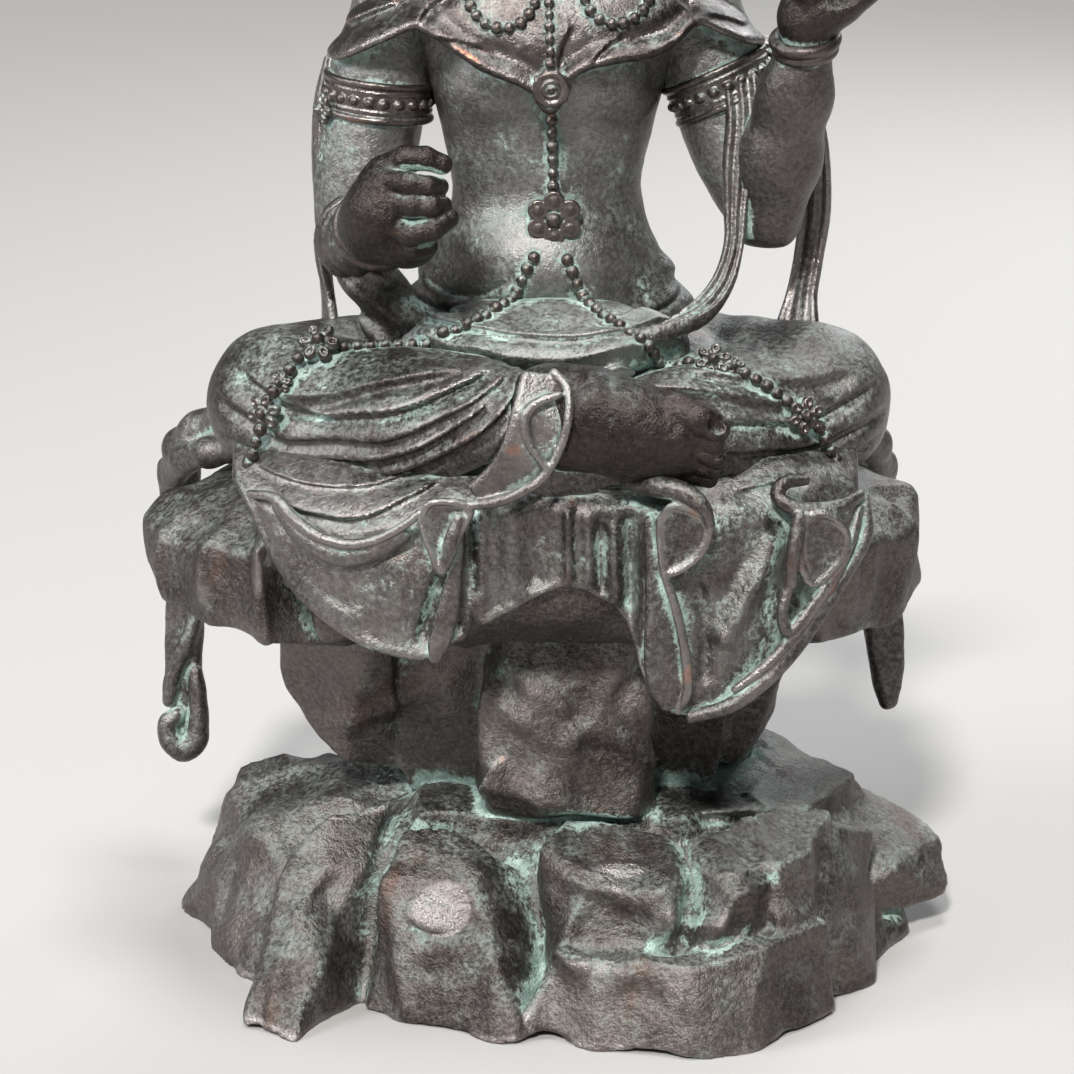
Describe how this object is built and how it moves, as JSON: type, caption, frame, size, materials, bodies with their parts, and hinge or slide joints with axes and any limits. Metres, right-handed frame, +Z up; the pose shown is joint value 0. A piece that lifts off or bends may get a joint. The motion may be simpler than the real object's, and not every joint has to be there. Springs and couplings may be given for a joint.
{
  "type": "seated bodhisattva statue",
  "caption": "Seated bodhisattva in lotus posture, weathered cast bronze, on a rockwork pedestal it lifts off; shoulder cape, bead strands, armlets and hanging scarves.",
  "frame": {"origin": "middle of the pedestal's underside, on the table", "axes": "+Z up; the figure faces -Y; +X is the figure's left hand side"},
  "size_m": [0.1959, 0.143, 0.3359],
  "materials": {
    "rock_bronze": "weathered dark bronze with green patina",
    "robe_bronze": "weathered dark bronze with green patina",
    "skin_bronze": "rubbed dark bronze",
    "jewel_bronze": "weathered dark bronze",
    "hair_bronze": "weathered dark bronze",
    "fixing_brass": "plain machined brass",
    "fixing_steel": "plain machined steel"
  },
  "bodies": {
    "pedestal": {"base_rock": "rock_bronze", "base_plate": "fixing_brass", "base_screws": "fixing_steel", "rock_column": "rock_bronze", "rock_shelf": "rock_bronze", "peg_sockets": "fixing_brass", "tie_rod": "fixing_steel", "tie_washers": "fixing_steel", "tie_nuts": "fixing_steel"},
    "figure": {"lap": "robe_bronze", "locating_pegs": "fixing_steel", "right_foot": "skin_bronze", "robe_skirt": "robe_bronze", "hem_fold_right": "robe_bronze", "hem_fold_middle": "robe_bronze", "hem_fold_left": "robe_bronze", "hem_roll": "robe_bronze", "waist_apron": "robe_bronze", "torso": "skin_bronze", "shoulder_cape": "robe_bronze", "right_upper_arm": "robe_bronze", "right_forearm": "robe_bronze", "right_hand": "skin_bronze", "right_armlet": "jewel_bronze", "right_bracelet": "jewel_bronze", "right_sleeve": "robe_bronze", "left_upper_arm": "robe_bronze", "left_forearm": "robe_bronze", "left_hand": "skin_bronze", "left_armlet": "jewel_bronze", "left_bracelet": "jewel_bronze", "head": "skin_bronze", "ears": "skin_bronze", "hair": "hair_bronze", "topknot": "hair_bronze", "hair_locks": "hair_bronze", "diadem": "jewel_bronze", "necklace_festoons": "jewel_bronze", "chest_beads": "jewel_bronze", "chest_rosette": "jewel_bronze", "flower_pendant": "jewel_bronze", "right_lap_beads": "jewel_bronze", "left_lap_beads": "jewel_bronze", "lap_bead_flowers": "jewel_bronze", "right_arm_scarf": "robe_bronze", "left_inner_scarf": "robe_bronze", "left_outer_scarf": "robe_bronze", "right_scarf_tail": "robe_bronze", "left_scarf_tail": "robe_bronze"}
  },
  "joints": [
    {"name": "figure_lift", "type": "slide", "parent": "pedestal", "child": "figure", "axis": [0, 0, 1], "range_m": [0, 0.11]}
  ]
}
